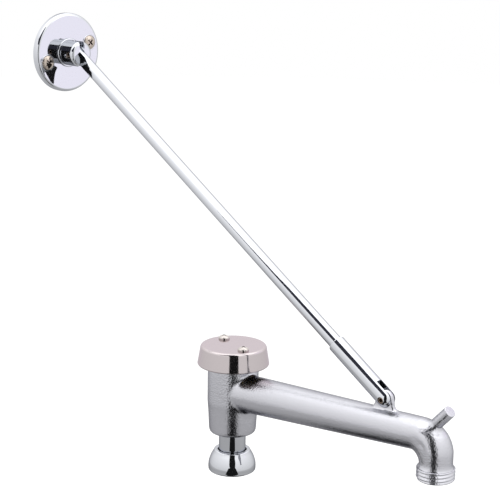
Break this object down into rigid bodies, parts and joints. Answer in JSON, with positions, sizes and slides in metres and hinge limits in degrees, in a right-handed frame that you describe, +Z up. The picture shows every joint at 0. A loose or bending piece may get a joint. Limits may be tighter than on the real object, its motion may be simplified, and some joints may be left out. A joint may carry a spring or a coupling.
{
  "type": "bucket hook spout",
  "caption": "Cast service-sink spout with a vacuum breaker on a coupling nut, a bucket peg on its elbow, a hose-thread outlet and a hinged brace that ends in a round wall flange.",
  "frame": {"origin": "Middle of the coupling nut's bottom face, on the inlet axis, where the tap's thread enters.", "axes": "+Z is up along the inlet axis. +X runs from the inlet axis to the outlet, away from the wall. +Y completes the right-handed frame, and the whole part is symmetric about Y = 0 but for its screws."},
  "size_m": [0.427, 0.0644, 0.3387],
  "materials": {
    "cast_chrome": "satin chrome plate over a rough sand casting",
    "polished_chrome": "bright polished chrome plate",
    "cap_screw_nickel": "bright nickel plate",
    "wall_screw_nickel": "warm grey nickel plate",
    "raw_brass": "turned brass, not plated",
    "grey_fibre": "pressed grey fibre",
    "white_acetal": "moulded off-white acetal",
    "black_rubber": "matt black rubber",
    "spring_steel": "dark spring steel, rolled"
  },
  "bodies": {
    "spout": {"spout_casting": "cast_chrome", "breaker_cap": "polished_chrome", "cap_screw_1": "cap_screw_nickel", "cap_screw_2": "cap_screw_nickel", "breaker_bonnet": "raw_brass", "bonnet_gasket": "grey_fibre", "tailpiece": "polished_chrome", "tail_washer": "black_rubber"},
    "float": {"float": "white_acetal", "float_seal": "black_rubber"},
    "slip": {"slip_ring": "raw_brass"},
    "nut": {"coupling_nut": "polished_chrome"},
    "sleeve": {"brace_sleeve": "polished_chrome", "lug_pin": "spring_steel"},
    "rod": {"brace_rod": "polished_chrome"},
    "post": {"wall_post": "polished_chrome", "post_ring": "polished_chrome", "post_pin": "spring_steel"},
    "flange": {"wall_flange": "polished_chrome", "wall_screw_1": "wall_screw_nickel", "wall_screw_2": "wall_screw_nickel"}
  },
  "joints": [
    {"name": "float_lift", "type": "slide", "parent": "spout", "child": "float", "axis": [0, 0, 1], "range_m": [0, 0.0045]},
    {"name": "nut_slide", "type": "slide", "parent": "spout", "child": "slip", "axis": [0, 0, 1], "range_m": [0, 0.014]},
    {"name": "nut_spin", "type": "hinge", "parent": "slip", "child": "nut", "pos_m": [0, 0, 0.0085], "axis": [0, 0, 1], "continuous": true},
    {"name": "brace_pivot", "type": "hinge", "parent": "spout", "child": "sleeve", "pos_m": [0.152, 0, 0.09747], "axis": [0, 1, 0], "range_deg": [-25, 125]},
    {"name": "rod_extend", "type": "slide", "parent": "sleeve", "child": "rod", "axis": [-0.8508, 0, 0.5255], "range_m": [-0.007, 0.015]},
    {"name": "post_pivot", "type": "hinge", "parent": "rod", "child": "post", "pos_m": [-0.18645, 0, 0.30651], "axis": [0, 1, 0], "range_deg": [-50, 110]},
    {"name": "flange_swivel", "type": "hinge", "parent": "post", "child": "flange", "pos_m": [-0.20415, 0, 0.30651], "axis": [1, 0, 0], "continuous": true}
  ]
}
